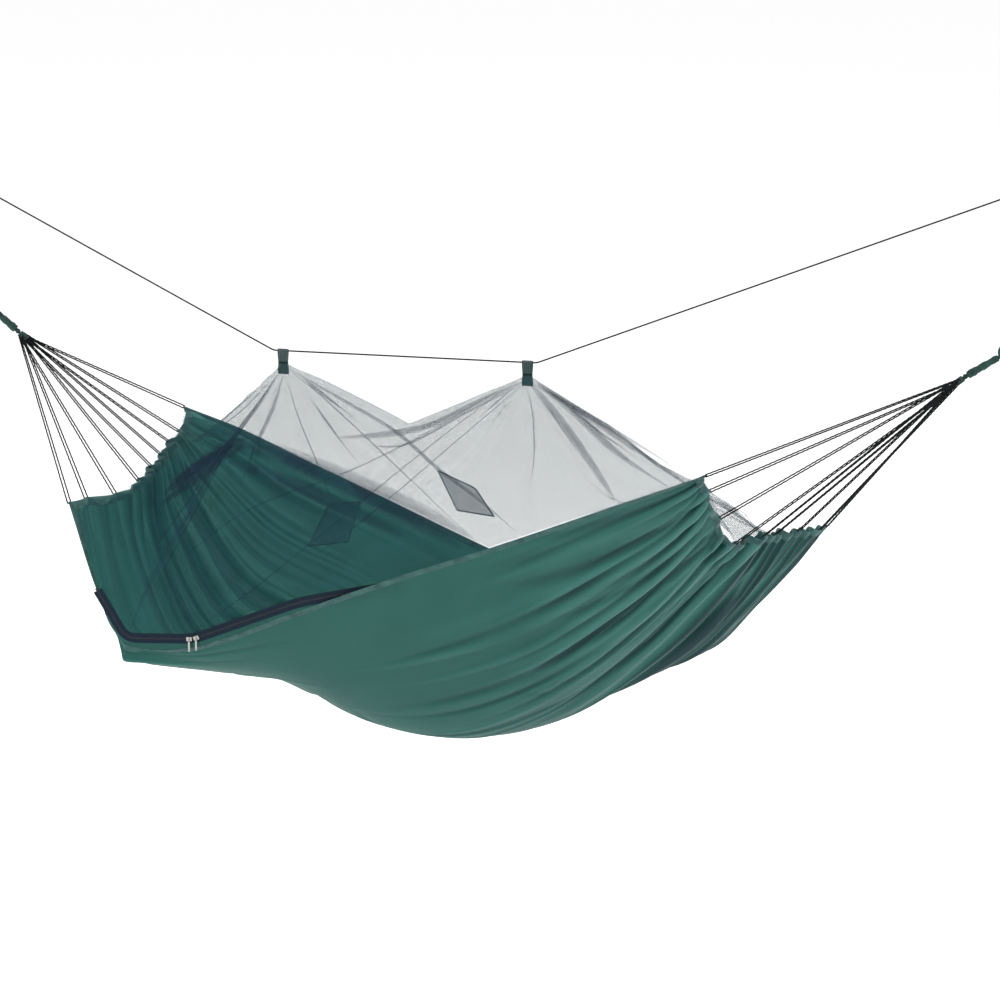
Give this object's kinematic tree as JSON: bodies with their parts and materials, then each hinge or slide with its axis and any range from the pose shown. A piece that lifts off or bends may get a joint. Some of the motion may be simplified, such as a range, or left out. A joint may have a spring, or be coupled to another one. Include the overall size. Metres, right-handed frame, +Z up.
{
  "type": "camping hammock",
  "caption": "Camping hammock with a cloth bed hung by fans of cords from two loops, under a zipped insect net that hangs from a ridge cord by webbing tabs.",
  "frame": {"origin": "centre of the eye of the head loop", "axes": "+X from the head loop towards the foot loop, +Y towards the far long edge, +Z up; the zip is on the near edge at -Y"},
  "size_m": [2.8415, 0.9825, 1.6021],
  "materials": {
    "bed_fabric": "thin satin woven nylon",
    "net_mesh": "fine see-through mesh",
    "cord": "twisted matt cord",
    "loop_cloth": "wrapped woven nylon",
    "tab_webbing": "glossy ribbed webbing",
    "tab_thread": "dense sewing thread",
    "binding": "folded edge tape",
    "zip_tape": "ribbed woven tape",
    "zip_coil": "moulded coil",
    "slider_metal": "bright plated metal"
  },
  "bodies": {
    "anchor_lines": {"head_loop": "loop_cloth", "head_loop_sleeve": "loop_cloth", "foot_loop": "loop_cloth", "foot_loop_sleeve": "loop_cloth", "ridge_cord": "cord", "ridge_cord_head_loop": "cord", "ridge_cord_foot_loop": "cord"},
    "hammock": {"bed_panel": "bed_fabric", "head_hem": "bed_fabric", "foot_hem": "bed_fabric", "near_edge_hem": "bed_fabric", "far_edge_hem": "bed_fabric", "head_cord_collar": "loop_cloth", "foot_cord_collar": "loop_cloth", "head_cord_01": "cord", "head_cord_02": "cord", "head_cord_03": "cord", "head_cord_04": "cord", "head_cord_05": "cord", "head_cord_06": "cord", "head_cord_07": "cord", "head_cord_08": "cord", "head_cord_09": "cord", "foot_cord_01": "cord", "foot_cord_02": "cord", "foot_cord_03": "cord", "foot_cord_04": "cord", "foot_cord_05": "cord", "foot_cord_06": "cord", "foot_cord_07": "cord", "foot_cord_08": "cord", "foot_cord_09": "cord", "net_canopy": "net_mesh", "foot_pocket": "net_mesh", "foot_pocket_binding": "binding", "head_pocket": "net_mesh", "head_pocket_binding": "binding", "zip_tape_bed": "zip_tape", "zip_tape_net": "zip_tape", "zip_coil_bed": "zip_coil", "zip_coil_net": "zip_coil", "zip_head_stop": "zip_coil", "zip_foot_stop": "zip_coil"},
    "ridge_tab_head": {"head_tab": "tab_webbing", "head_tab_bartack": "tab_thread"},
    "ridge_tab_foot": {"foot_tab": "tab_webbing", "foot_tab_bartack": "tab_thread"},
    "slider_head": {"zip_slider_head": "slider_metal"},
    "slider_foot": {"zip_slider_foot": "slider_metal"},
    "pull_head": {"zip_pull_head": "slider_metal"},
    "pull_foot": {"zip_pull_foot": "slider_metal"}
  },
  "joints": [
    {"name": "hammock_swing", "type": "hinge", "parent": "anchor_lines", "child": "hammock", "pos_m": [0.084, 0, -0.07], "axis": [1, 0, 0], "range_deg": [-25, 25]},
    {"name": "head_tab_slide", "type": "slide", "parent": "anchor_lines", "child": "ridge_tab_head", "axis": [1, 0, 0], "range_m": [0, 0.08]},
    {"name": "foot_tab_slide", "type": "slide", "parent": "anchor_lines", "child": "ridge_tab_foot", "axis": [-1, 0, 0], "range_m": [0, 0.08]},
    {"name": "head_slider_run", "type": "slide", "parent": "hammock", "child": "slider_head", "axis": [-0.9985, 0.0107, -0.0537], "range_m": [0, 0.14]},
    {"name": "foot_slider_run", "type": "slide", "parent": "hammock", "child": "slider_foot", "axis": [0.9262, 0.0318, 0.3756], "range_m": [0, 0.28]},
    {"name": "head_pull_swing", "type": "hinge", "parent": "slider_head", "child": "pull_head", "pos_m": [0.70196, -0.49289, -0.76454], "axis": [-1, 0, 0], "range_deg": [0, 150]},
    {"name": "foot_pull_swing", "type": "hinge", "parent": "slider_foot", "child": "pull_foot", "pos_m": [0.72143, -0.49268, -0.76024], "axis": [-1, 0, 0], "range_deg": [0, 150]}
  ]
}
